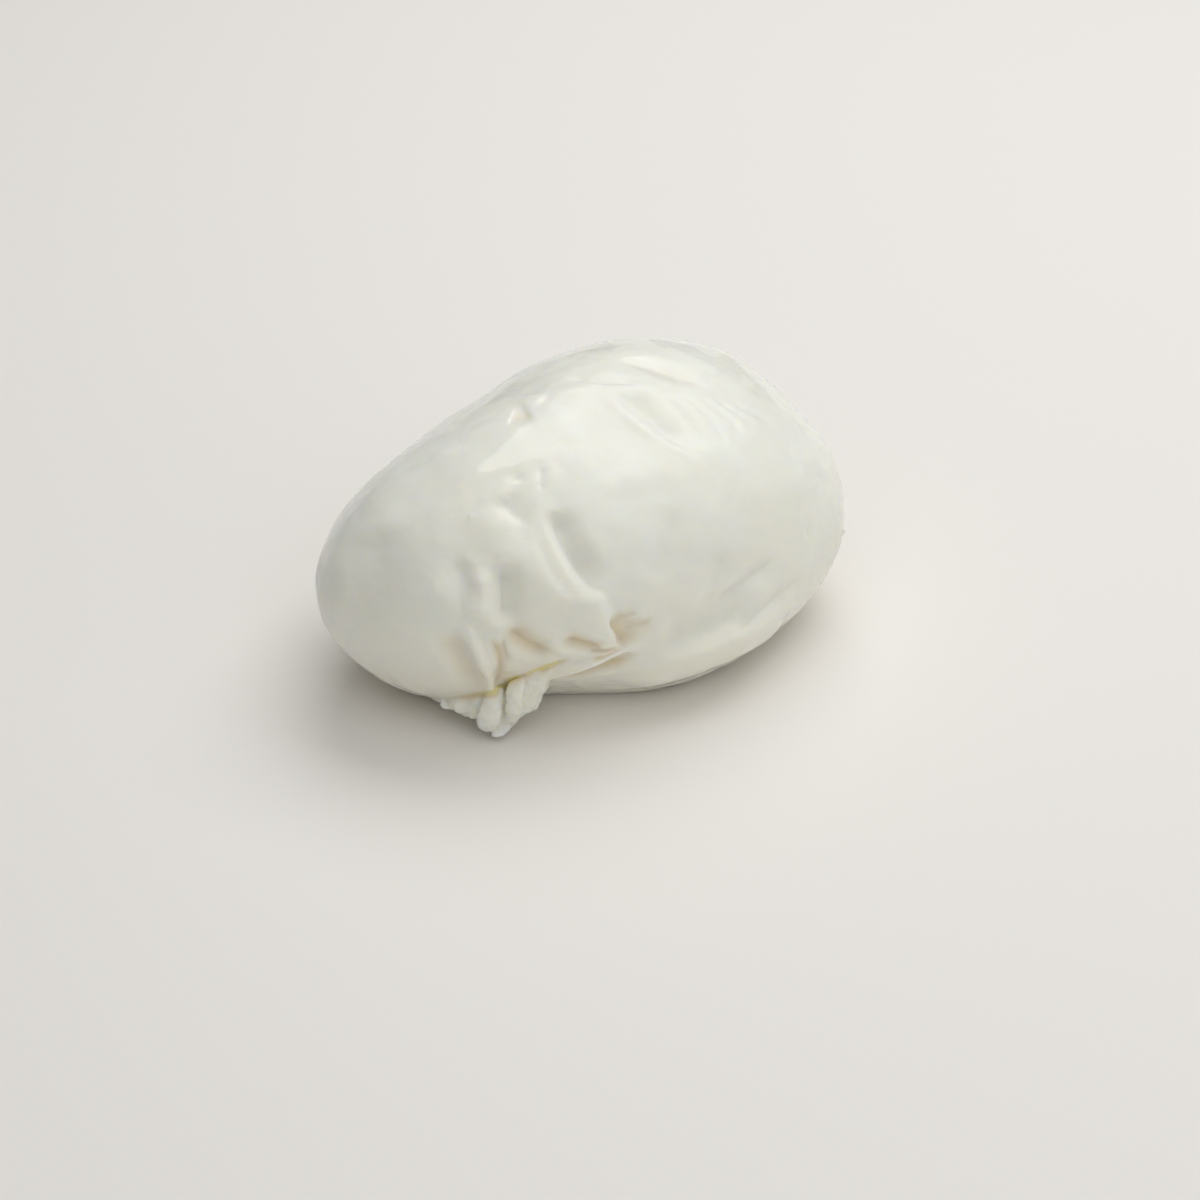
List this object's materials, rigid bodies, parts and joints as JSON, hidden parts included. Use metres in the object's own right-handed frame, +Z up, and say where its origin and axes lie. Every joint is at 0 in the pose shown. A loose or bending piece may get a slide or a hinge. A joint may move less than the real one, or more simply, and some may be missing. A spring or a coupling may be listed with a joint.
{
  "type": "burrata",
  "caption": "Soft fresh cheese pouch lying on its side, with folds that gather into a knot and a small torn tuft low on one flank.",
  "frame": {"origin": "on the surface the cheese rests on, under the middle of its outline seen from above", "axes": "+X along the long axis, towards the fuller end; +Z up; the knot looks towards -X and -Y"},
  "size_m": [0.1093, 0.0723, 0.0541],
  "materials": {
    "skin": "wet, glossy, slightly translucent off-white"
  },
  "bodies": {
    "root": {"cheese": "skin"}
  },
  "joints": []
}
